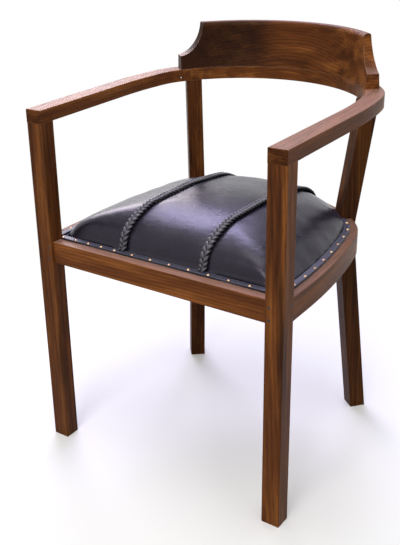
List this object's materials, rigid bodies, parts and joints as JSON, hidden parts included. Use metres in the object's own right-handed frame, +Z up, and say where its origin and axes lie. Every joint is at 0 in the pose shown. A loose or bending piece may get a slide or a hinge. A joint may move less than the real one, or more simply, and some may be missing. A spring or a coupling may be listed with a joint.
{
  "type": "captains chair",
  "caption": "Wooden armchair with level arms that curve into a bow behind the sitter, a tall scooped crest rail, splayed rear legs and a crowned leather seat with braided seams",
  "frame": {"origin": "middle of the plan on the floor under the chair", "axes": "+Z up, the chair faces -Y, +X is the viewer's right when facing the chair's front"},
  "size_m": [0.5356, 0.5555, 0.794],
  "materials": {
    "walnut": "satin, dark reddish-brown oiled walnut",
    "hidden_wood": "bare beech",
    "dark_plug": "dark satin plug",
    "plywood": "bare plywood",
    "foam": "open-cell foam",
    "leather": "near-black semi-gloss leather",
    "lace": "near-black glossy leather lace",
    "band_leather": "near-black satin leather band",
    "brass_nail": "worn domed brass",
    "steel": "plain bright steel"
  },
  "bodies": {
    "root": {"front_leg_left": "walnut", "front_leg_right": "walnut", "rear_leg_left": "walnut", "rear_leg_right": "walnut", "front_rail": "walnut", "side_rail_left": "walnut", "side_rail_right": "walnut", "rear_rail": "walnut", "arm_left": "walnut", "arm_right": "walnut", "back_bow": "walnut", "crest_rail": "walnut", "bow_spline_left": "hidden_wood", "bow_spline_right": "hidden_wood", "crest_dowels": "hidden_wood", "front_corner_block_left": "hidden_wood", "front_corner_block_right": "hidden_wood", "rear_corner_block_left": "hidden_wood", "rear_corner_block_right": "hidden_wood", "corner_block_screws": "steel", "seat_board_screws": "steel", "front_rail_pegs": "dark_plug", "side_rail_pegs": "dark_plug", "arm_pins": "steel", "seat_board": "plywood", "seat_pad": "foam", "leather_left": "leather", "leather_centre": "leather", "leather_right": "leather", "lace_left": "lace", "lace_right": "lace", "edge_band_front": "band_leather", "edge_band_left": "band_leather", "edge_band_right": "band_leather", "edge_band_rear": "band_leather", "nails_front": "brass_nail", "nails_left": "brass_nail", "nails_right": "brass_nail", "nails_rear": "brass_nail"}
  },
  "joints": []
}
